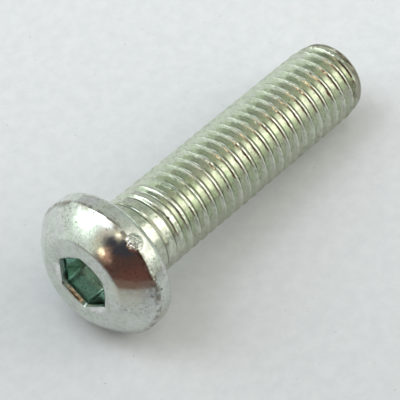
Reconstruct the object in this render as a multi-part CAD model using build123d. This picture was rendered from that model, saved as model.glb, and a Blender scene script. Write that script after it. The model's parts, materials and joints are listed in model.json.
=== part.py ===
from build123d import *
import os
from math import asin, atan2, cos, degrees, hypot, radians, sin, sqrt, tan

# Button head socket screw, ISO 7380-1 proportions, M10 x 40, in one piece.
# Millimetres. It is drawn along its own axis first: x = 0 is the bearing face under
# the head, the head lies towards -x and the point towards +x. Then it is laid down as
# it comes to rest, on the rim of its head and the end of its thread.
# The thread's outside is a plain cylinder at the major diameter; the neck and the
# run-outs at both ends of the thread follow from the pitch.

# ---- shank and thread ------------------------------------------------------------
thread_d = 10.0            # major diameter
thread_pitch = 1.5
length = 40.0              # bearing face to the end of the point
neck_length = 1.2          # plain neck under the head, left by the thread rolls
neck_ramp_deg = 45.0       # slope of the last thread where it fades into the neck
neck_fillet = 0.6          # under the head

# ---- point -----------------------------------------------------------------------
point_d = 9.2              # where the fading thread meets the end chamfer
point_chamfer = 0.25       # 45 degree break on the end face

# ---- head ------------------------------------------------------------------------
head_d = 17.5
head_h = 5.5
rim_h = 2.45               # bearing face to the sharp edge where the dome starts
rim_round = 0.9            # rounded lower edge of the rim
dome_r = 10.6
edge_fillet = 0.35         # where the dome meets the rim
crown_fillet = 1.0         # softens the edge between the dome and the flat crown

# ---- hexagon socket --------------------------------------------------------------
hex_af = 6.0               # across flats
hex_depth = 3.3
lead_af = 6.44             # across flats at the crown, where the walls open out
lead_depth = 0.55          # crown to where the walls are straight
mouth_d = 7.56             # shallow countersink round the hexagon
mouth_angle = 160.0        # full angle of the countersink
punch_angle = 130.0        # full angle of the cone that the punch leaves at the bottom

# ---- how it lies -----------------------------------------------------------------
socket_turn = 52.0         # from a socket corner straight up, about the axis, to -Y

# Worked out from the sizes above.
head_r = head_d / 2
thread_r = thread_d / 2
point_r = point_d / 2
neck_r = thread_r - 0.325 * thread_pitch          # pitch radius, as a rolled blank
point_taper = 1.6 * thread_pitch                  # incomplete threads at the point
neck_ramp = (thread_r - neck_r) / tan(radians(neck_ramp_deg))
dome_centre = sqrt(dome_r**2 - head_r**2) - rim_h
crown_r = sqrt(dome_r**2 - (head_h + dome_centre) ** 2)


def half_section():
    """Half of the screw's section: x along the axis, y the radius."""
    crown = (-head_h, crown_r)
    edge = (-rim_h, head_r)
    mid = (asin(crown_r / dome_r) + asin(head_r / dome_r)) / 2
    dome_mid = (dome_centre - dome_r * cos(mid), dome_r * sin(mid))
    rim_end = (-rim_round, head_r)
    bearing_out = (0, head_r - rim_round)
    bearing_in = (0, neck_r + neck_fillet)
    neck_start = (neck_fillet, neck_r)
    outline = [
        Line((-head_h, 0), crown),
        ThreePointArc(crown, dome_mid, edge),
        Line(edge, rim_end),
        RadiusArc(rim_end, bearing_out, rim_round),
        Line(bearing_out, bearing_in),
        RadiusArc(bearing_in, neck_start, -neck_fillet),
        Polyline(
            neck_start,
            (neck_length, neck_r),
            (neck_length + neck_ramp, thread_r),
            (length - point_taper, thread_r),
            (length - point_chamfer, point_r),
            (length, point_r - point_chamfer),
            (length, 0),
            (-head_h, 0),
        ),
    ]
    face = make_face(Curve() + outline)
    crown_corner = face.vertices().sort_by_distance((*crown, 0))[0]
    face = fillet(crown_corner, crown_fillet)
    edge_corner = face.vertices().sort_by_distance((*edge, 0))[0]
    return fillet(edge_corner, edge_fillet)


def socket():
    """The hollow of the drive: hexagon with its lead-in, punch cone and countersink."""
    into_head = Plane(origin=(-head_h, 0, 0), x_dir=(0, 0, 1), z_dir=(1, 0, 0))
    to_corner = 0.5 / cos(radians(30))
    hexagon = extrude(into_head * RegularPolygon(hex_af * to_corner, 6), hex_depth)
    lead_slope = degrees(atan2((lead_af - hex_af) / 2, lead_depth))
    lead_in = extrude(
        into_head * RegularPolygon(lead_af * to_corner, 6), lead_depth, taper=lead_slope
    )

    punch_r = hex_af / 2
    punch_h = punch_r / tan(radians(punch_angle / 2))
    floor = -head_h + hex_depth
    punch = revolve(
        make_face(Polyline((floor, 0), (floor, punch_r), (floor + punch_h, 0), close=True)),
        Axis.X,
    )

    mouth_r = mouth_d / 2
    mouth_h = mouth_r / tan(radians(mouth_angle / 2))
    mouth = revolve(
        make_face(
            Polyline((-head_h, 0), (-head_h, mouth_r), (-head_h + mouth_h, 0), close=True)
        ),
        Axis.X,
    )
    return hexagon + lead_in + punch + mouth


def lean():
    """Angle from the ground to the axis, and the height of x = 0 on the axis.

    The ground line touches the rim's rounded edge and the last full thread.
    """
    dx = (length - point_taper) + rim_round
    dy = (head_r - rim_round) - thread_r
    span = hypot(dx, dy)
    angle = atan2(dy, dx) + asin(rim_round / span)
    height = (length - point_taper) * sin(angle) + thread_r * cos(angle)
    return angle, height


def laid_down(screw):
    """Turn the screw onto the ground, with the middle of its box over the origin."""
    angle, height = lean()
    lying = Pos(0, 0, height) * Rot(0, degrees(angle), 0) * Rot(socket_turn, 0, 0) * screw
    box = lying.bounding_box()
    return Pos(-(box.min.X + box.max.X) / 2, -(box.min.Y + box.max.Y) / 2, 0) * lying


screw = revolve(half_section(), Axis.X) - socket()
screw = laid_down(screw)

os.makedirs("parts", exist_ok=True)
export_step(screw, "parts/screw.step")
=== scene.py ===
import json
import math

import bpy
from mathutils import Matrix, Vector, noise


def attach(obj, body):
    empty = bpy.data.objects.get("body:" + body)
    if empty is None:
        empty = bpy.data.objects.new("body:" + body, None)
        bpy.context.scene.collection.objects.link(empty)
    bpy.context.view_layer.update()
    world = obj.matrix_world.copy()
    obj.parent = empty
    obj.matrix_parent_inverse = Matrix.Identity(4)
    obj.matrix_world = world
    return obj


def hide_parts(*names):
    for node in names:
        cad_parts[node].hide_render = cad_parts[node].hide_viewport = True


# A button head socket screw, M10 x 40, bright zinc plated, lying on pale paper.
# It is drawn upright on its own axis first: z = 0 is the bearing face under the head,
# the head lies towards -z and the point towards +z, and a socket corner faces +y.

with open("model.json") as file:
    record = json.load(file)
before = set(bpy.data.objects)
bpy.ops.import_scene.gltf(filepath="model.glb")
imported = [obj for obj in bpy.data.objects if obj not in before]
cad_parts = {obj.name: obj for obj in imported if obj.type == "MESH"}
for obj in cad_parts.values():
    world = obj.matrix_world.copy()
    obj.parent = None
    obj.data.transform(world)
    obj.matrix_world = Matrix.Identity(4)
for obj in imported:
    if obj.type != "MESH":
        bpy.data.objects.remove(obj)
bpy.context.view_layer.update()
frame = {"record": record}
mounts = {mount["name"]: mount for mount in frame["record"]["mounts"]}

MM = 0.001
COLUMNS = 168                  # divisions round the axis, for head and thread alike

# ---- head --------------------------------------------------------------------------
HEAD_R = 8.75 * MM
HEAD_H = 5.5 * MM
RIM_H = 2.45 * MM
RIM_ROUND = 0.9 * MM
DOME_R = 10.6 * MM
EDGE_FILLET = 0.35 * MM        # where the dome meets the rim
CROWN_FILLET = 1.0 * MM
DOME_CENTRE = math.sqrt(DOME_R**2 - HEAD_R**2) - RIM_H

# ---- socket ------------------------------------------------------------------------
FLAT_R = 3.0 * MM              # axis to a flat of the hexagon
CORNER_R = FLAT_R / math.cos(math.radians(30))
CORNER_ROUND = 0.16 * MM
CORNER_CUTS = 2
SOCKET_DEPTH = 3.3 * MM
LEAD_FLAT_R = 3.22 * MM        # the walls open out to this at the crown
LEAD_DEPTH = 0.55 * MM
LIP_ROUND = 0.05 * MM          # eased edge where the walls come out on the crown
LIP_MIDDLE = (0.3, 0.4)        # height and width of its middle, in parts of it
FOOT_ROUND = 0.10 * MM         # eased corner at the foot of the walls
MOUTH_R = 3.78 * MM
MOUTH_SLOPE = math.tan(math.radians(80))
PUNCH_R = 2.84 * MM
PUNCH_SLOPE = math.tan(math.radians(65))
PUNCH_RINGS = 8
PUNCH_TIP = 0.02               # the last ring, in parts of the first
SOCKET_TURN = math.radians(52)  # socket corner from straight up, about the axis

# ---- neck, thread and point --------------------------------------------------------
PITCH = 1.5 * MM
THREAD_R = 5.0 * MM
ROOT_R = 4.08 * MM
ROOT_ROUND = 0.2165 * MM
CREST_FLAT = 0.23 * MM
CREST_ROUND = 0.05 * MM
FLANK = math.radians(27.5)
FIRST_ROOT = 3.685 * MM        # bottom of a groove, in line with the socket corner
LENGTH = 40.0 * MM
NECK_R = 4.5125 * MM
NECK_FILLET = 0.6 * MM
NECK_END = 0.95 * MM
NECK_LENGTH = 1.2 * MM
THREAD_STARTS = (1.4 * MM, 9.5 * MM)     # the grooves deepen along this stretch
THREAD_STOPS = (38.8 * MM, 40.6 * MM)    # and get shallow again from here
LAG = 0.36 * MM                # the first grooves lean towards the head by this
LAG_STARTS = (1.2 * MM, 2.2 * MM)
LAG_STOPS = (3.0 * MM, 5.6 * MM)
POINT_TAPER = (37.6 * MM, 39.75 * MM)
POINT_R = 4.6 * MM
END_R = 4.35 * MM
END_TIP = 0.2 * MM             # the last ring on the end face
CHAMFER_SLOPE = 0.6
TURNS = 28
SEED_R = 0.1 * MM              # of the ring that is merged to the section's first point
SQUARED = 0.03 * MM            # what is left nearer than this to an end joins it

WELD = 0.002 * MM              # corners nearer than this are one, in the thread
JOINT_WELD = 0.003 * MM        # and where the thread joins the neck
SMOOTH = math.radians(40)      # edges flatter than this are shaded smooth

# ---- knocks from the works' bins ---------------------------------------------------
EDGE_KNOCKS = (0.5 * MM, 0.06 * MM)      # size and depth, along the dome's edge
EDGE_REACH = 0.3 * MM                    # how far from the edge they go
BURR = (0.7 * MM, 0.10 * MM)             # size and depth, where the edge is bruised
BURR_SINK = 0.6                          # keeps the bruise from standing proud
BURR_PLACE = Vector((3.1, 8.1, -2.2)) * MM
BURR_REACH = 0.9 * MM
CREST_KNOCKS = (0.5 * MM, 0.15 * MM)     # size and depth, along the thread's crests
CREST_SPARED = 0.12                      # the share of the noise that leaves no knock
CREST_FOOT = 4.6 * MM                    # radius at which the knocks have died out
CREST_STARTS = (2 * MM, 4 * MM)
CREST_STOPS = (LENGTH - 0.3 * MM, LENGTH - 0.8 * MM)


# ---- how a piece is worked ---------------------------------------------------------
def only(piece):
    """Selects this piece and nothing else."""
    bpy.ops.object.select_all(action="DESELECT")
    piece.select_set(True)
    bpy.context.view_layer.objects.active = piece


def pick(piece, wanted):
    """In edit mode, selects only the corners whose place passes the test."""
    bpy.ops.mesh.select_mode(type="VERT")
    bpy.ops.mesh.select_all(action="DESELECT")
    bpy.ops.object.mode_set(mode="OBJECT")
    for corner in piece.data.vertices:
        corner.select = wanted(corner.co)
    bpy.ops.object.mode_set(mode="EDIT")


def around(co):
    """How far a corner is from the screw's axis."""
    return math.hypot(co.x, co.y)


def near(a, b, slack=0.001 * MM):
    return abs(a - b) < slack


def fade(value, start, end):
    """0 at the start and 1 at the end, with soft ends."""
    k = min(1, max(0, (value - start) / (end - start)))
    return k * k * (3 - 2 * k)


def draw_ring(z, r, stations):
    """Extrudes the selected ring from station to station: height, and radius or size."""
    for next_z, next_r in stations:
        bpy.ops.mesh.extrude_region_move(
            TRANSFORM_OT_translate={"value": (0, 0, next_z - z)}
        )
        bpy.ops.transform.resize(
            value=(next_r / r, next_r / r, 1), center_override=(0, 0, next_z)
        )
        z, r = next_z, next_r


def arc(centre_z, centre_r, radius, start, end, steps):
    """Stations on an arc. Angle 0 faces -z, 90 degrees faces outwards."""
    stations = []
    for i in range(1, steps + 1):
        a = start + (end - start) * i / steps
        stations.append(
            (centre_z - radius * math.cos(a), centre_r + radius * math.sin(a))
        )
    return stations


def straight(z0, r0, z1, r1, steps):
    """Stations on a straight line, without its first point."""
    return [
        (z0 + (z1 - z0) * i / steps, r0 + (r1 - r0) * i / steps)
        for i in range(1, steps + 1)
    ]


def bridge(piece, wanted):
    """Joins the two rings whose corners pass the test."""
    pick(piece, wanted)
    bpy.ops.mesh.select_mode(type="EDGE")
    bpy.ops.mesh.bridge_edge_loops()
    bpy.ops.mesh.select_mode(type="VERT")


def apply_modifier(piece, kind, **settings):
    only(piece)
    modifier = piece.modifiers.new(kind.lower(), kind)
    for name, value in settings.items():
        setattr(modifier, name, value)
    bpy.ops.object.modifier_apply(modifier=modifier.name)


# ---- head and socket ---------------------------------------------------------------
def punch_socket():
    """The hexagon's walls, its countersunk mouth and the cone at its bottom."""
    floor_z = SOCKET_DEPTH - HEAD_H
    bpy.ops.object.select_all(action="DESELECT")
    bpy.ops.mesh.primitive_circle_add(
        vertices=6, radius=CORNER_R, location=(0, 0, 0), enter_editmode=True
    )
    head = bpy.context.object
    head.name = "screw_body"
    bpy.ops.mesh.select_all(action="SELECT")
    bpy.ops.mesh.bevel(
        offset=CORNER_ROUND, offset_type="OFFSET", segments=CORNER_CUTS, affect="VERTICES"
    )
    bpy.ops.mesh.select_all(action="DESELECT")
    bpy.ops.mesh.select_mode(type="EDGE")
    bpy.ops.object.mode_set(mode="OBJECT")
    places = head.data.vertices
    for edge in head.data.edges:
        a, b = (places[i].co for i in edge.vertices)
        edge.select = (a - b).length > FLAT_R / 2
    bpy.ops.object.mode_set(mode="EDIT")
    # with its rounded corners, the hexagon then has as many corners as the head
    bpy.ops.mesh.subdivide(number_cuts=COLUMNS // 6 - CORNER_CUTS - 1)
    bpy.ops.mesh.select_mode(type="VERT")
    bpy.ops.mesh.select_all(action="SELECT")
    bpy.ops.transform.translate(value=(0, 0, floor_z))
    floor_scale = 1 - FOOT_ROUND / FLAT_R
    bpy.ops.transform.resize(
        value=(floor_scale, floor_scale, 1), center_override=(0, 0, floor_z)
    )

    # walls, opening out at the crown to a lip that lies in the countersink's cone
    lead_scale = LEAD_FLAT_R / FLAT_R
    lip = LIP_ROUND / FLAT_R
    lead_foot = -HEAD_H + LEAD_DEPTH
    stations = [(floor_z + FOOT_ROUND, 1)]
    stations += straight(floor_z + FOOT_ROUND, 1, lead_foot, 1, steps=5)
    stations += straight(lead_foot, 1, -HEAD_H + LIP_ROUND, lead_scale, steps=4)
    stations += [
        (-HEAD_H + LIP_ROUND * LIP_MIDDLE[0], lead_scale + lip * LIP_MIDDLE[1]),
        (-HEAD_H, lead_scale + lip),
    ]
    draw_ring(floor_z, floor_scale, stations)
    bpy.ops.object.mode_set(mode="OBJECT")
    for corner in head.data.vertices:
        if corner.co.z < -HEAD_H + 2 * LIP_ROUND:
            corner.co.z += (MOUTH_R - around(corner.co)) / MOUTH_SLOPE
    bpy.ops.object.mode_set(mode="EDIT")

    # countersink
    bpy.ops.mesh.select_all(action="DESELECT")
    bpy.ops.mesh.primitive_circle_add(
        vertices=COLUMNS, radius=MOUTH_R, location=(0, 0, -HEAD_H)
    )
    bridge(head, lambda co: near(co.z, -HEAD_H + (MOUTH_R - around(co)) / MOUTH_SLOPE))

    # punch cone below the walls
    bpy.ops.mesh.select_all(action="DESELECT")
    bpy.ops.mesh.primitive_circle_add(
        vertices=COLUMNS, radius=PUNCH_R, location=(0, 0, floor_z)
    )
    bridge(head, lambda co: near(co.z, floor_z))
    pick(head, lambda co: near(co.z, floor_z) and near(around(co), PUNCH_R))
    tip_r = PUNCH_R * PUNCH_TIP
    tip_z = floor_z + (PUNCH_R - tip_r) / PUNCH_SLOPE
    draw_ring(floor_z, PUNCH_R, straight(floor_z, PUNCH_R, tip_z, tip_r, PUNCH_RINGS))
    bpy.ops.mesh.merge(type="CENTER")
    return head


def turn_head(head):
    """Crown, dome, rim, bearing face and neck, drawn out from the socket's mouth."""
    fillet_z = -HEAD_H + CROWN_FILLET
    fillet_r = math.sqrt((DOME_R - CROWN_FILLET) ** 2 - (fillet_z - DOME_CENTRE) ** 2)
    blend = math.asin(fillet_r / (DOME_R - CROWN_FILLET))
    edge_r = HEAD_R - EDGE_FILLET
    edge = math.asin(edge_r / (DOME_R - EDGE_FILLET))
    edge_z = DOME_CENTRE - (DOME_R - EDGE_FILLET) * math.cos(edge)
    bearing_r = HEAD_R - RIM_ROUND
    neck_foot = NECK_R + NECK_FILLET
    right = math.pi / 2
    pick(head, lambda co: near(co.z, -HEAD_H) and near(around(co), MOUTH_R))
    stations = straight(-HEAD_H, MOUTH_R, -HEAD_H, fillet_r, steps=5)
    stations += arc(fillet_z, fillet_r, CROWN_FILLET, 0, blend, steps=7)
    stations += arc(DOME_CENTRE, 0, DOME_R, blend, edge, steps=18)
    stations += arc(edge_z, edge_r, EDGE_FILLET, edge, right, steps=4)
    stations += straight(edge_z, HEAD_R, -RIM_ROUND, HEAD_R, steps=6)
    stations += arc(-RIM_ROUND, bearing_r, RIM_ROUND, right, 2 * right, steps=8)
    stations += straight(0, bearing_r, 0, neck_foot, steps=5)
    stations += arc(NECK_FILLET, neck_foot, NECK_FILLET, 0, -right, steps=6)
    stations += [(NECK_END, NECK_R)]
    draw_ring(-HEAD_H, MOUTH_R, stations)


def knock_edge(head):
    """Small dents all along the edge between dome and rim, and one bruise."""
    size, depth = EDGE_KNOCKS
    burr_size, burr_depth = BURR
    for corner in head.data.vertices:
        co = corner.co
        away = abs(co.z + RIM_H)
        if around(co) > HEAD_R - 2 * EDGE_REACH and away < EDGE_REACH:
            dent = -depth * (1 - away / EDGE_REACH) * abs(noise.noise(co / size))
            corner.co = co * (1 + dent / co.length)
        bruise = 1 - (co - BURR_PLACE).length / BURR_REACH
        if bruise > 0:
            dent = noise.noise(co / burr_size) - BURR_SINK
            dent *= burr_depth * min(1, 2 * bruise)
            corner.co += co.normalized() * dent


def make_head():
    head = punch_socket()
    turn_head(head)
    bpy.ops.object.mode_set(mode="OBJECT")
    knock_edge(head)
    return head


# ---- thread ------------------------------------------------------------------------
def thread_section():
    """One pitch of the thread from crest to crest: height and radius."""
    lean = math.pi / 2 - FLANK
    points = 3                 # on each round of the crest and the root
    crest_cut = CREST_FLAT / 2 - CREST_ROUND * math.tan(lean / 2)
    half = [(0, THREAD_R)]
    for i in range(points):
        a = lean * i / (points - 1)
        z = crest_cut + CREST_ROUND * math.sin(a)
        half.append((z, THREAD_R - CREST_ROUND * (1 - math.cos(a))))
    top_z, top_r = half[-1]
    foot_z = PITCH / 2 - ROOT_ROUND * math.sin(lean)
    foot_r = ROOT_R + ROOT_ROUND * (1 - math.cos(lean))
    half += straight(top_z, top_r, foot_z, foot_r, steps=3)[:-1]
    for i in range(points):
        a = lean * (1 - i / points)
        z = PITCH / 2 - ROOT_ROUND * math.sin(a)
        half.append((z, ROOT_R + ROOT_ROUND * (1 - math.cos(a))))
    back = [(PITCH - z, r) for z, r in reversed(half)]
    return half + [(PITCH / 2, ROOT_R)] + back


def rolled_radius(z, r):
    """Where the rolls leave the thread: shallow at the neck, cut off at the point."""
    start, end = POINT_TAPER
    neck = NECK_R + max(0, z - NECK_LENGTH)
    taper = THREAD_R + (POINT_R - THREAD_R) * max(0, z - start) / (end - start)
    chamfer = END_R + (LENGTH - z) * CHAMFER_SLOPE
    shallow = 1 - fade(z, *THREAD_STARTS) + fade(z, *THREAD_STOPS)
    return min(r + shallow * (THREAD_R - ROOT_R), neck, THREAD_R, taper, chamfer)


def roll_thread():
    """The section wound up along the axis, run out at both ends, with the end face."""
    section = thread_section()
    start = FIRST_ROOT - PITCH / 2
    start -= math.ceil((start + PITCH - NECK_END) / PITCH) * PITCH
    bpy.ops.object.select_all(action="DESELECT")
    bpy.ops.mesh.primitive_circle_add(
        vertices=3, radius=SEED_R, location=(0, section[0][1], start + section[0][0]),
        enter_editmode=True,
    )
    thread = bpy.context.object
    thread.name = "thread"
    bpy.ops.mesh.select_all(action="SELECT")
    bpy.ops.mesh.merge(type="CENTER")
    for (z, r), (next_z, next_r) in zip(section, section[1:]):
        bpy.ops.mesh.extrude_vertices_move(
            TRANSFORM_OT_translate={"value": (0, next_r - r, next_z - z)}
        )
    bpy.ops.object.mode_set(mode="OBJECT")
    bpy.ops.object.transform_apply(location=True, rotation=True, scale=True)
    apply_modifier(
        thread, "SCREW", axis="Z", angle=2 * math.pi, screw_offset=PITCH,
        iterations=TURNS, steps=COLUMNS, render_steps=COLUMNS, use_smooth_shade=True,
    )

    # both ends are squared off, the rolls run out at them, and the crests get knocks
    size, depth = CREST_KNOCKS
    for corner in thread.data.vertices:
        co = corner.co
        z = co.z
        if z < NECK_END + SQUARED:
            z = NECK_END
        if z > LENGTH - SQUARED:
            z = LENGTH
        r = around(co)
        lag = LAG * (THREAD_R - r) / (THREAD_R - ROOT_R)
        z -= lag * (1 - fade(z, *LAG_STOPS)) * fade(z, *LAG_STARTS)
        knock = depth * max(0, noise.noise(co / size) - CREST_SPARED)
        knock *= fade(r, CREST_FOOT, THREAD_R)
        knock *= fade(z, *CREST_STARTS) * fade(z, *CREST_STOPS)
        k = (rolled_radius(z, r) - knock) / r
        corner.co = (co.x * k, co.y * k, z)
    only(thread)
    bpy.ops.object.mode_set(mode="EDIT")
    bpy.ops.mesh.select_mode(type="VERT")
    bpy.ops.mesh.select_all(action="SELECT")
    bpy.ops.mesh.remove_doubles(threshold=WELD)
    bpy.ops.mesh.dissolve_degenerate(threshold=WELD)

    # end face
    pick(thread, lambda co: near(co.z, LENGTH))
    draw_ring(LENGTH, END_R, straight(LENGTH, END_R, LENGTH, END_TIP, steps=7))
    bpy.ops.mesh.merge(type="CENTER")
    bpy.ops.object.mode_set(mode="OBJECT")
    return thread


def lay_down(piece):
    """Turns the upright screw onto the ground, where the frame's mounts say."""
    drive = mounts["hexagon_drive"]
    axis = -Vector(drive["axis"]).normalized()
    up = (Vector((0, 0, 1)) - axis * axis.z).normalized()
    across = axis.cross(up)
    corner = up * math.cos(SOCKET_TURN) + across * math.sin(SOCKET_TURN)
    bearing = Vector(drive["pos_m"]) + axis * HEAD_H
    turn = Matrix((corner.cross(axis), corner, axis)).transposed()
    piece.matrix_world = Matrix.Translation(bearing) @ turn.to_4x4()
    only(piece)
    bpy.ops.object.transform_apply(location=True, rotation=True, scale=True)
    return bearing, turn


head = make_head()
thread = roll_thread()
only(thread)
head.select_set(True)
bpy.context.view_layer.objects.active = head
bpy.ops.object.join()
screw_body = bpy.context.object
bpy.ops.object.mode_set(mode="EDIT")
bpy.ops.mesh.select_all(action="SELECT")
bpy.ops.mesh.remove_doubles(threshold=JOINT_WELD)
bpy.ops.mesh.normals_make_consistent(inside=False)
bpy.ops.object.mode_set(mode="OBJECT")
bearing, turn = lay_down(screw_body)
bpy.ops.object.shade_smooth_by_angle(angle=SMOOTH)
apply_modifier(screw_body, "WEIGHTED_NORMAL", mode="FACE_AREA", keep_sharp=True)


# ---- finish ------------------------------------------------------------------------
# A pattern is a noise's scale, detail, roughness and distortion. A band is two values
# between which something fades in, from 0 to 1 or from the third number to the fourth.
# A spot is its middle, its radius, and how much of the radius is even.
# On the screw these are in millimetres, on its own axis.
HEAD_ZINC = ((0.73, 0.79, 0.71), (0.775, 0.785, 0.765))     # neutral
THREAD_ZINC = ((0.70, 0.765, 0.61), (0.73, 0.757, 0.65))    # straw green
THREAD_BAND = (0.6, 2.6)                 # from the one to the other, along the axis
CLOUDS = (0.5, 4.0, 0.6, 0.6)
CLOUD_BAND = (0.35, 0.65)
MOTTLE = (2.1, 4.0, 0.65)
FILM = (0.50, 0.52, 0.46)
FILM_BAND = (0.42, 0.70, 0.0, 0.30)
SPECK = (0.22, 0.20, 0.17)
SPECKS = (2.6, 1.0, 0.4)
SPECK_BAND = (0.735, 0.80, 0.0, 0.7)

# socket: blue green walls, painted shade in the lead-in and on one wall, a painted bronze
# reflection and a painted highlight on the brim
SOCKET_ZINC = (0.60, 0.79, 0.71)
SOCKET_RADIUS = (3.62, 3.42)
SOCKET_MOUTH = (-5.36, -5.05)
SOCKET_BOTTOM = (1.0, 0.0)
# painted shade in the lead-in at the socket's mouth
LEAD_IN_PAINTED_SHADE = (0.13, 0.20, 0.175)
LEAD_RADIUS = (3.85, 3.60)
LEAD_TOP = (-5.47, -5.40)
LEAD_FOOT = (-4.90, -5.00)
# painted reflection of a warm lamp, bronze coloured, on one side of the lead-in
PAINTED_BRONZE_REFLECTION = ((0.24, 0.16, 0.09), (0.66, 0.53, 0.36))
BRONZE_REFLECTION_SPOT = ((-1.60, -2.77, -5.2), 1.5, 0.6)
GLITTER = (3.1, 2.0, 0.6)
GLITTER_BAND = (0.45, 0.62)
# painted shade on one wall of the socket
PAINTED_WALL_SHADE = (0.12, 0.19, 0.165)
WALL_SHADE_SPOT = ((2.5, -1.9, -4.4), 1.4, 0.6)
# painted highlight on the brim round the socket's mouth, in two places
PAINTED_BRIM_HIGHLIGHT = (1.0, 1.0, 1.0)
BRIM_RADIUS = (4.05, 3.80)
BRIM_HEIGHT = (-5.38, -5.44)
BRIM_SPOTS = (((1.5, -3.3, -5.5), 1.7, 0.5), ((-3.5, 0.3, -5.5), 2.0, 0.5))

# thread: painted shade in the bottom of the grooves, dulled on the crests
GROOVE = (THREAD_R - ROOT_R) / MM
GROOVE_LEAST = 0.02
# painted shade along the bottom of the grooves
PAINTED_ROOT_SHADE = (0.13, 0.15, 0.10)
ROOT_BAND = (0.15, 0.05)                 # height in the groove, in parts of its depth
ROOT_LOWERED = (3.0, 6.0, 0.10, 0.0)     # by this the first shallow grooves show more
ROOT_STARTS = (2.3, 2.7)
ROOT_STOPS = (39.9, 39.6, 0.0, 0.8)
DULL_CREST = (0.42, 0.45, 0.36)
CREST_BAND = (4.70, 4.85)
RUBBING = (1.3, 3.0, 0.6)
RUBBING_BAND = (0.46, 0.60, 0.0, 0.5)

# head: a dull veil and freckles, a stained edge, worn marks, a yellow stain with painted
# warm reflection, a painted highlight on the bruise, a darker rim patch
ON_HEAD = (-0.4, 0.0, 1.0, 0.4)
VEIL_COLOUR = (0.45, 0.48, 0.42)
VEIL = (0.95, 4.0, 0.62, 0.8)
VEIL_BAND = (0.42, 0.66, 0.0, 0.42)
FRECKLE = (0.34, 0.33, 0.27)
FRECKLES = (3.6, 3.0, 0.65)
FRECKLE_BAND = (0.54, 0.68)
FRECKLED = (0.42, 2.0)                   # where there are more of them
FRECKLED_BAND = (0.40, 0.60, 0.2, 0.9)
EDGE_STAIN = (0.24, 0.215, 0.17)
EDGE_RADIUS = (8.05, 8.35)
EDGE_TOP = (-3.1, -2.6)
EDGE_FOOT = (-2.0, -2.35)
EDGE_PATCHES = (1.1, 3.0, 0.6)
EDGE_PATCH_BAND = (0.40, 0.56, 0.0, 0.75)
WORN = (0.20, 0.19, 0.17)
WORN_SPOT = ((-3.3, 7.8, -2.9), 1.0)
WORN_DOT = ((-3.14, 8.17, -1.94), 0.20, 0.5)
WORN_SPECKS = (3.0, 2.0, 0.6)
WORN_SPECK_BAND = (0.40, 0.60)
# a mottled yellow stain that also paints in the warm paper's reflection
YELLOW_STAIN_AND_REFLECTION = (0.80, 0.77, 0.63)
YELLOWED_SPOT = ((-1.7, 6.3, -4.8), 2.6, 0.3)
YELLOWED_BAND = (0.35, 0.55, 0.15, 0.85)
# painted highlight on the bruise at the dome's edge
BURR_PAINTED_HIGHLIGHT = (1.0, 1.0, 0.94)
BURR_SPOT = (BURR_PLACE / MM, 1.5, 0.5)
BURR_STRENGTH = 0.8
BURR_RADIUS = (7.95, 8.45)
BURR_FOOT = (-1.4, -1.9)
# a darker patch on the rim
DARKER_RIM_PATCH = (0.34, 0.37, 0.30)
DARKER_RIM_SPOT = ((2.9, 8.2, -1.3), 2.2, 0.4)
DARKER_RIM_RADIUS = (8.60, 8.70, 0.0, 0.6)

# point: darker and brownish towards its end
DARKER_END = (0.12, 0.11, 0.085)
END_BAND = (38.90, 39.15)
END_MOTTLE = (0.30, 0.60, 0.95, 0.75)
STAINED = (0.36, 0.34, 0.25)
STAIN_BAND = (36.5, 39.0)
STAIN_CLOUDS = (0.40, 0.56, 0.2, 0.75)

# gloss and grain
ROUGHNESS = (0.11, 0.15)                 # of head and thread
FILM_ROUGHNESS = (0.4, 0.7, 0.0, 0.07)   # what the mottled film adds
VEIL_ROUGHNESS = 0.16
WAVES = (0.9, 2.0)
WAVE_DEPTH = 0.014 * MM
WAVE_HEIGHTS = (1.0, 3.2)                # on head and thread, in parts of the depth
BURR_BUMPS = (3.4, 1.0)
BURR_BUMP_SPOT = (BURR_PLACE / MM, 1.15, 0.3)
BURR_BUMP_DEPTH = 0.35 * MM
GRAIN = (5.0, 3.0, 0.7)
GRAIN_DEPTH = 0.0016 * MM

# the sockets of a Mix node that have no name of their own
COLOURS = (6, 7, 2)                      # first, second and result
FLOATS = (2, 3, 0)


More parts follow.
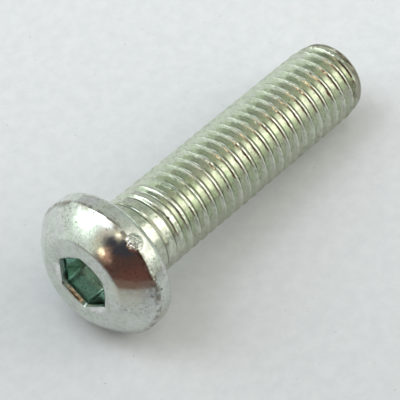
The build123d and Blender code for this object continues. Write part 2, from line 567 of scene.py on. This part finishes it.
class Nodes:
    """A node tree, laid out by short calls that each give back an output."""

    def __init__(self, owner):
        owner.use_nodes = True
        self.tree = owner.node_tree

    def node(self, kind, **settings):
        node = self.tree.nodes.new(kind)
        for name, value in settings.items():
            setattr(node, name, value)
        return node

    def feed(self, socket, value):
        if isinstance(value, bpy.types.NodeSocket):
            self.tree.links.new(value, socket)
        else:
            socket.default_value = value

    def noise(self, place, scale, detail=2.0, roughness=0.5, distortion=0.0):
        node = self.node("ShaderNodeTexNoise")
        self.feed(node.inputs["Vector"], place)
        node.inputs["Scale"].default_value = scale
        node.inputs["Detail"].default_value = detail
        node.inputs["Roughness"].default_value = roughness
        node.inputs["Distortion"].default_value = distortion
        return node.outputs["Fac"]

    def ramp(self, value, low, high, out_low=0.0, out_high=1.0):
        node = self.node("ShaderNodeMapRange", interpolation_type="SMOOTHSTEP")
        self.feed(node.inputs["Value"], value)
        node.inputs["From Min"].default_value = low
        node.inputs["From Max"].default_value = high
        node.inputs["To Min"].default_value = out_low
        node.inputs["To Max"].default_value = out_high
        return node.outputs["Result"]

    def math(self, operation, a, b):
        node = self.node("ShaderNodeMath", operation=operation)
        self.feed(node.inputs[0], a)
        self.feed(node.inputs[1], b)
        return node.outputs["Value"]

    def times(self, value, *others):
        for other in others:
            value = self.math("MULTIPLY", value, other)
        return value

    def mix(self, amount, a, b):
        """From colour a to colour b."""
        first, second, result = COLOURS
        node = self.node("ShaderNodeMix", data_type="RGBA")
        self.feed(node.inputs["Factor"], amount)
        for socket, colour in ((first, a), (second, b)):
            opaque = (*colour, 1) if isinstance(colour, tuple) else colour
            self.feed(node.inputs[socket], opaque)
        return node.outputs[result]

    def blend(self, amount, a, b):
        """From number a to number b."""
        first, second, result = FLOATS
        node = self.node("ShaderNodeMix", data_type="FLOAT")
        self.feed(node.inputs["Factor"], amount)
        self.feed(node.inputs[first], a)
        self.feed(node.inputs[second], b)
        return node.outputs[result]

    def spot(self, place, centre, radius, even=0.0):
        """1 in a round spot, fading to 0 at its radius."""
        node = self.node("ShaderNodeVectorMath", operation="DISTANCE")
        self.feed(node.inputs[0], place)
        node.inputs[1].default_value = centre
        return self.ramp(node.outputs["Value"], radius, radius * even)

    def bump(self, height, depth, strength=1, over=None):
        node = self.node("ShaderNodeBump")
        node.inputs["Strength"].default_value = strength
        node.inputs["Distance"].default_value = depth
        self.feed(node.inputs["Height"], height)
        if over is not None:
            self.feed(node.inputs["Normal"], over)
        return node.outputs["Normal"]


class Finish(Nodes):
    """A material and its shader."""

    def __init__(self, name):
        self.material = bpy.data.materials.new(name)
        super().__init__(self.material)
        self.shader = self.tree.nodes["Principled BSDF"]


class Plating(Finish):
    """Bright zinc on the screw, whose colour is laid on coat by coat."""

    def __init__(self, name):
        super().__init__(name)
        self.place, self.along, self.radius = self.own_axis()
        self.threaded = self.ramp(self.along, *THREAD_BAND)
        self.clouds = self.noise(self.place, *CLOUDS)
        self.mottle = self.noise(self.place, *MOTTLE)
        self.veil = self.ramp(self.noise(self.place, *VEIL), *VEIL_BAND)
        cloudy = self.ramp(self.clouds, *CLOUD_BAND)
        self.tint = self.mix(
            self.threaded, self.mix(cloudy, *HEAD_ZINC), self.mix(cloudy, *THREAD_ZINC)
        )

    def own_axis(self):
        """Place, height along the axis and distance from it, in millimetres."""
        coordinates = self.node("ShaderNodeTexCoord")
        own = self.node("ShaderNodeMapping", vector_type="TEXTURE")
        self.feed(own.inputs["Vector"], coordinates.outputs["Object"])
        own.inputs["Location"].default_value = bearing
        own.inputs["Rotation"].default_value = turn.to_euler()
        own.inputs["Scale"].default_value = (MM, MM, MM)
        place = own.outputs["Vector"]
        parts = self.node("ShaderNodeSeparateXYZ")
        self.feed(parts.inputs["Vector"], place)
        flat = self.node("ShaderNodeVectorMath", operation="MULTIPLY")
        self.feed(flat.inputs[0], place)
        flat.inputs[1].default_value = (1, 1, 0)
        length = self.node("ShaderNodeVectorMath", operation="LENGTH")
        self.feed(length.inputs[0], flat.outputs["Vector"])
        return place, parts.outputs["Z"], length.outputs["Value"]

    def coat(self, amount, colour):
        self.tint = self.mix(amount, self.tint, colour)

    def spread(self, pattern, band):
        """Where a pattern on the screw shows."""
        return self.ramp(self.noise(self.place, *pattern), *band)

    def colour_socket(self):
        inside = self.times(
            self.ramp(self.radius, *SOCKET_RADIUS),
            self.ramp(self.along, *SOCKET_MOUTH),
            self.ramp(self.along, *SOCKET_BOTTOM),
        )
        self.coat(inside, SOCKET_ZINC)
        lead = self.times(
            self.ramp(self.radius, *LEAD_RADIUS),
            self.ramp(self.along, *LEAD_TOP),
            self.ramp(self.along, *LEAD_FOOT),
        )
        # painted shade in the lead-in
        self.coat(lead, LEAD_IN_PAINTED_SHADE)
        # painted bronze reflection on one side of the lead-in
        bronze_reflection = self.mix(self.spread(GLITTER, GLITTER_BAND), *PAINTED_BRONZE_REFLECTION)
        self.coat(self.times(lead, self.spot(self.place, *BRONZE_REFLECTION_SPOT)), bronze_reflection)
        # painted shade on one wall of the socket
        self.coat(self.spot(self.place, *WALL_SHADE_SPOT), PAINTED_WALL_SHADE)
        # painted highlight on the brim, in two spots
        brim_highlight_spots = self.math("MAXIMUM", *(self.spot(self.place, *s) for s in BRIM_SPOTS))
        brim = self.times(
            self.ramp(self.radius, *BRIM_RADIUS), self.ramp(self.along, *BRIM_HEIGHT), brim_highlight_spots
        )
        self.coat(brim, PAINTED_BRIM_HIGHLIGHT)

    def colour_thread(self):
        starts = self.ramp(self.along, *(z / MM for z in THREAD_STARTS), GROOVE, 0.0)
        stops = self.ramp(self.along, *(z / MM for z in THREAD_STOPS), 0.0, GROOVE)
        run_out = self.math("ADD", starts, stops)
        bottom = self.math("ADD", run_out, ROOT_R / MM)
        above = self.math("SUBTRACT", self.radius, bottom)
        depth = self.math("MAXIMUM", self.math("SUBTRACT", GROOVE, run_out), GROOVE_LEAST)
        height = self.math("DIVIDE", above, depth)
        height = self.math("SUBTRACT", height, self.ramp(self.along, *ROOT_LOWERED))
        # painted shade along the bottom of the grooves, also on the first shallow ones
        root_shade = self.times(
            self.ramp(height, *ROOT_BAND),
            self.ramp(self.along, *ROOT_STARTS),
            self.ramp(self.along, *ROOT_STOPS),
        )
        self.coat(root_shade, PAINTED_ROOT_SHADE)
        crests = self.times(
            self.ramp(self.radius, *CREST_BAND),
            self.threaded,
            self.spread(RUBBING, RUBBING_BAND),
        )
        self.coat(crests, DULL_CREST)

    def colour_head(self):
        on_head = self.ramp(self.along, *ON_HEAD)
        self.coat(self.times(self.veil, on_head), VEIL_COLOUR)
        freckled = self.times(self.spread(FRECKLED, FRECKLED_BAND), on_head)
        self.coat(self.times(self.spread(FRECKLES, FRECKLE_BAND), freckled), FRECKLE)
        edge = self.times(
            self.ramp(self.radius, *EDGE_RADIUS),
            self.ramp(self.along, *EDGE_TOP),
            self.ramp(self.along, *EDGE_FOOT),
            self.spread(EDGE_PATCHES, EDGE_PATCH_BAND),
        )
        self.coat(edge, EDGE_STAIN)
        worn = self.times(
            self.spot(self.place, *WORN_SPOT), self.spread(WORN_SPECKS, WORN_SPECK_BAND)
        )
        worn = self.math("MAXIMUM", worn, self.spot(self.place, *WORN_DOT))
        self.coat(worn, WORN)
        # mottled yellow stain, partly a painted reflection of the warm paper
        yellow_stain_and_reflection = self.times(
            self.spot(self.place, *YELLOWED_SPOT), self.ramp(self.mottle, *YELLOWED_BAND)
        )
        self.coat(yellow_stain_and_reflection, YELLOW_STAIN_AND_REFLECTION)
        # painted highlight on the bruise at the dome's edge
        burr = self.times(
            self.spot(self.place, *BURR_SPOT),
            BURR_STRENGTH,
            self.ramp(self.radius, *BURR_RADIUS),
            self.ramp(self.along, *BURR_FOOT),
        )
        self.coat(burr, BURR_PAINTED_HIGHLIGHT)
        # a darker patch on the rim
        darker_rim = self.times(
            self.ramp(self.radius, *DARKER_RIM_RADIUS), self.spot(self.place, *DARKER_RIM_SPOT)
        )
        self.coat(darker_rim, DARKER_RIM_PATCH)

    def colour_point(self):
        end = self.times(
            self.ramp(self.along, *END_BAND), self.ramp(self.mottle, *END_MOTTLE)
        )
        self.coat(end, DARKER_END)
        stained = self.times(
            self.ramp(self.along, *STAIN_BAND), self.ramp(self.clouds, *STAIN_CLOUDS)
        )
        self.coat(stained, STAINED)

    def gloss(self):
        """The mottled film and the veil are duller."""
        film = self.ramp(self.mottle, *FILM_ROUGHNESS)
        gloss = self.math("ADD", self.blend(self.threaded, *ROUGHNESS), film)
        return self.math("ADD", gloss, self.times(self.veil, VEIL_ROUGHNESS))

    def relief(self):
        """The plating's fine grain over the bruise and the forging's slight waves."""
        waves = self.times(
            self.noise(self.place, *WAVES), self.blend(self.threaded, *WAVE_HEIGHTS)
        )
        bruise = self.times(
            self.spot(self.place, *BURR_BUMP_SPOT), self.noise(self.place, *BURR_BUMPS)
        )
        grain = self.math("ADD", self.noise(self.place, *GRAIN), self.mottle)
        normal = self.bump(waves, WAVE_DEPTH)
        normal = self.bump(bruise, BURR_BUMP_DEPTH, over=normal)
        return self.bump(grain, GRAIN_DEPTH, over=normal)


def zinc_plating():
    f = Plating("bright_zinc_plating")
    f.colour_socket()
    f.coat(f.ramp(f.mottle, *FILM_BAND), FILM)
    f.colour_thread()
    f.coat(f.spread(SPECKS, SPECK_BAND), SPECK)
    f.colour_head()
    f.colour_point()
    f.feed(f.shader.inputs["Base Color"], f.tint)
    f.shader.inputs["Metallic"].default_value = 1
    f.feed(f.shader.inputs["Roughness"], f.gloss())
    f.feed(f.shader.inputs["Normal"], f.relief())
    return f.material


screw_body.data.materials.clear()
screw_body.data.materials.append(zinc_plating())
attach(screw_body, "root")
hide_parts("screw")


# ---- ground ------------------------------------------------------------------------
# Here places are in metres, and patterns are per metre.
SHEET_SIZE = 3
SHEET = ((0.835, 0.86, 0.895), (0.895, 0.92, 0.955))
FIBRES = (600, 5.0, 0.7)
FIBRE_BAND = (0.3, 0.7)
FIBRE_DEPTH = 0.02 * MM
FIBRE_STRENGTH = 0.4
SHEET_ROUGHNESS = 0.85
FLECK = (0.25, 0.25, 0.25)
FLECKS = (1500, 2.0, 0.5)
FLECK_BAND = (0.70, 0.78, 0.0, 0.30)
BLACK = (0.0, 0.0, 0.0)
FRONT = -137                             # azimuth that the sheet's near edge faces
FALL_OFF = (-0.05, 0.06, 0.0, 0.20)      # painted shade: the sheet darkens a little to the front
SHADE = (0.000, 0.058, 0.0, 0.40)        # and falls into shade, only in reflections
SHADE_SPOT = ((0.010, -0.012, 0), 0.036, 0.6)    # as it does below the shank
SHADE_SPOT_STRENGTH = 0.15
PAINTED_CONTACT_SHADOW = (0.20, 0.16, 0.13)              # painted shadow round the head's foot, seen only by the camera
CONTACT_SHADOW_FROM_BEARING = -0.7 * MM
CONTACT_SHADOW_SPOT = ((bearing.x + CONTACT_SHADOW_FROM_BEARING, bearing.y, 0), 0.0075, 0.15)
CONTACT_SHADOW_STRENGTH = 0.35
TABLE = (0.18, 0.10, 0.085)              # beyond the sheet, only in reflections
SHEET_EDGE = (0.064, 0.080)


def towards(azimuth, elevation):
    a, e = math.radians(azimuth), math.radians(elevation)
    return Vector((math.cos(e) * math.cos(a), math.cos(e) * math.sin(a), math.sin(e)))


def paper():
    bpy.ops.object.select_all(action="DESELECT")
    bpy.ops.mesh.primitive_plane_add(size=SHEET_SIZE)
    sheet = bpy.context.object
    sheet.name = "paper_ground"
    f = Finish("pale_paper")
    place = f.node("ShaderNodeTexCoord").outputs["Object"]
    forward = f.node("ShaderNodeVectorMath", operation="DOT_PRODUCT")
    f.feed(forward.inputs[0], place)
    forward.inputs[1].default_value = towards(FRONT, 0)
    front = forward.outputs["Value"]
    rays = f.node("ShaderNodeLightPath").outputs
    glossy = rays["Is Glossy Ray"]

    fibres = f.noise(place, *FIBRES)
    colour = f.mix(f.ramp(fibres, *FIBRE_BAND), *SHEET)
    colour = f.mix(f.ramp(f.noise(place, *FLECKS), *FLECK_BAND), colour, FLECK)
    # painted shade, a little darker towards the front
    colour = f.mix(f.ramp(front, *FALL_OFF), colour, BLACK)
    below = f.times(f.spot(place, *SHADE_SPOT), SHADE_SPOT_STRENGTH)
    shade = f.math("MAXIMUM", below, f.ramp(front, *SHADE))
    colour = f.mix(f.times(shade, glossy), colour, BLACK)
    # painted shadow round the head's foot, only for camera rays
    contact_shadow = f.times(f.spot(place, *CONTACT_SHADOW_SPOT), CONTACT_SHADOW_STRENGTH, rays["Is Camera Ray"])
    colour = f.mix(contact_shadow, colour, PAINTED_CONTACT_SHADOW)
    beyond = f.times(f.ramp(front, *SHEET_EDGE), glossy)
    colour = f.mix(beyond, colour, TABLE)
    f.feed(f.shader.inputs["Base Color"], colour)
    f.shader.inputs["Roughness"].default_value = SHEET_ROUGHNESS
    normal = f.bump(fibres, FIBRE_DEPTH, FIBRE_STRENGTH)
    f.feed(f.shader.inputs["Normal"], normal)
    sheet.data.materials.append(f.material)


# ---- light -------------------------------------------------------------------------
WALLS = (0.66, 0.70, 0.63)
CEILING = (0.58, 0.56, 0.48)
CEILING_BAND = (0.45, 0.98)
BACKDROP = (0.78, 0.81, 0.83)            # what the camera sees instead of the room


class Room(Nodes):
    """The room round the table, as soft patches of light and shade."""

    def __init__(self):
        bpy.context.scene.world = bpy.data.worlds.new("soft_room")
        super().__init__(bpy.context.scene.world)
        self.direction = self.node("ShaderNodeTexCoord").outputs["Generated"]
        parts = self.node("ShaderNodeSeparateXYZ")
        self.feed(parts.inputs["Vector"], self.direction)
        self.colour = self.mix(self.ramp(parts.outputs["Z"], *CEILING_BAND), WALLS, CEILING)

    def patch(self, azimuth, elevation, width, height, colour, soft):
        """An oval patch; width and height are half angles in degrees."""
        middle = towards(azimuth, elevation)
        side = Vector((0, 0, 1)).cross(middle).normalized()
        rise = middle.cross(side)
        oval = self.node("ShaderNodeMapping", vector_type="TEXTURE")
        self.feed(oval.inputs["Vector"], self.direction)
        oval.inputs["Location"].default_value = middle
        oval.inputs["Rotation"].default_value = (
            Matrix((middle, side, rise)).transposed().to_euler()
        )
        oval.inputs["Scale"].default_value = (
            1, 2 * math.sin(math.radians(width) / 2), 2 * math.sin(math.radians(height) / 2)
        )
        ball = self.node("ShaderNodeTexGradient", gradient_type="SPHERICAL")
        self.feed(ball.inputs["Vector"], oval.outputs["Vector"])
        inside = self.ramp(ball.outputs["Fac"], 0, soft)
        self.colour = self.mix(inside, self.colour, colour)

    def close(self):
        rays = self.node("ShaderNodeLightPath")
        seen = self.mix(rays.outputs["Is Camera Ray"], self.colour, BACKDROP)
        background = self.tree.nodes["Background"]
        self.feed(background.inputs["Color"], seen)
        background.inputs["Strength"].default_value = 1


paper()
room = Room()
room.patch(122, 22, 50, 44, (0.78, 0.86, 0.81), 0.8)        # wall lit by the window
room.patch(0, 25, 62, 38, (0.49, 0.56, 0.50), 0.5)          # far wall
room.patch(55, 10, 18, 30, (0.56, 0.57, 0.58), 0.5)         # pale corner
room.patch(80, 64, 24, 17, (0.20, 0.21, 0.22), 0.6)         # shaded ceiling
room.patch(36, 46, 24, 24, (0.50, 0.53, 0.49), 0.6)         # dim top of the far wall
room.patch(-92, 22, 34, 50, (0.96, 1.00, 0.85), 0.9)        # wall lit by the lamp
room.patch(-47, 37, 31, 30, (1.66, 1.62, 1.52), 0.5)        # the lamp's glow
room.patch(-51, 41, 17, 15, (2.7, 2.55, 2.55), 0.7)         # lamp
room.patch(167, 44, 14, 32, (0.66, 0.60, 0.50), 0.7)        # curtain
room.patch(177, 8, 14, 26, (0.22, 0.18, 0.15), 0.6)         # door
room.patch(121, 36, 34, 27, (1.80, 1.97, 1.88), 0.7)        # window
room.patch(130, 61, 25, 18, (3.9, 4.1, 4.6), 0.8)           # its top, full of sky
room.patch(0, 88, 8, 8, (4.8, 4.9, 5.1), 0.9)               # ceiling lamp
room.patch(86, 48, 16, 22, (0.22, 0.23, 0.24), 0.6)         # window frame
room.patch(-146, 20, 38, 36, (0.098, 0.048, 0.040), 0.22)   # dark red cloth by the table
room.patch(-136, 2, 30, 20, (0.140, 0.058, 0.047), 0.4)     # its nearer folds
room.patch(-164, 40, 27, 14, (0.042, 0.042, 0.054), 0.4)    # dark shelf above it
room.patch(-170, 53, 5, 4.2, (3.6, 3.0, 2.3), 0.8)          # small warm lamp
room.patch(-178, 24, 9, 13, (0.44, 0.25, 0.17), 0.6)        # wall lit by the next lamp
room.patch(176, 25, 6, 5, (3.8, 2.9, 2.0), 0.8)             # second warm lamp
room.patch(-171, 19, 2, 4, (0.8, 0.5, 0.4), 0.8)            # its reflection
room.close()

# ---- camera ------------------------------------------------------------------------
CAMERA_FROM_BEARING = Vector((-117.728, -111.029, 210.542)) * MM
CAMERA_VIEW = Vector((0.480918, 0.402726, -0.7788))
CAMERA_LENS = 213.76
CAMERA_SENSOR = 36

camera_data = bpy.data.cameras.new("camera")
camera_data.lens = CAMERA_LENS
camera_data.sensor_width = CAMERA_SENSOR
camera = bpy.data.objects.new("camera", camera_data)
bpy.context.scene.collection.objects.link(camera)
camera.location = bearing + CAMERA_FROM_BEARING
camera.rotation_euler = CAMERA_VIEW.to_track_quat("-Z", "Y").to_euler()
bpy.context.scene.camera = camera
bpy.context.scene.view_settings.view_transform = "Standard"

bpy.context.view_layer.update()
